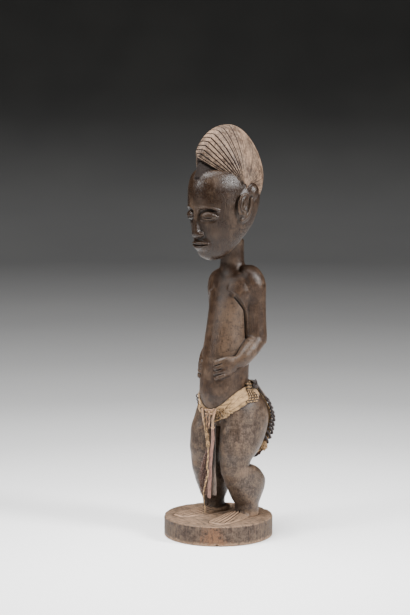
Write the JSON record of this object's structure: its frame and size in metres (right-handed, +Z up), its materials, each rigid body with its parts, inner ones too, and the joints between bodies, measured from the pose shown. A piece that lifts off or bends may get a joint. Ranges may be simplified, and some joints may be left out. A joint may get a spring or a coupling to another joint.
{
  "type": "carved standing figure",
  "caption": "Carved wooden standing figure on a round base, with a combed crest, hands on the belly and a cloth and cord loincloth with a ribbed back flap.",
  "frame": {"origin": "middle of the base's underside", "axes": "+Z up, the figure faces -Y and its left side is +X"},
  "size_m": [0.112, 0.112, 0.4196],
  "materials": {
    "figure": "worn, dark and polished",
    "waist_cloth": "cream cotton",
    "hip_wrap": "black and white twisted yarn",
    "front_strip": "faded pink cotton",
    "grey_strip": "grey-brown cotton",
    "front_cord": "cream cotton cord",
    "thread_tassel": "red-brown threads",
    "back_flap": "ribbed black and brown cloth"
  },
  "bodies": {
    "root": {"figure": "figure", "waist_cloth": "waist_cloth", "hip_wrap": "hip_wrap", "front_strip": "front_strip", "grey_strip": "grey_strip", "front_cord": "front_cord", "thread_tassel": "thread_tassel", "back_flap": "back_flap"}
  },
  "joints": []
}
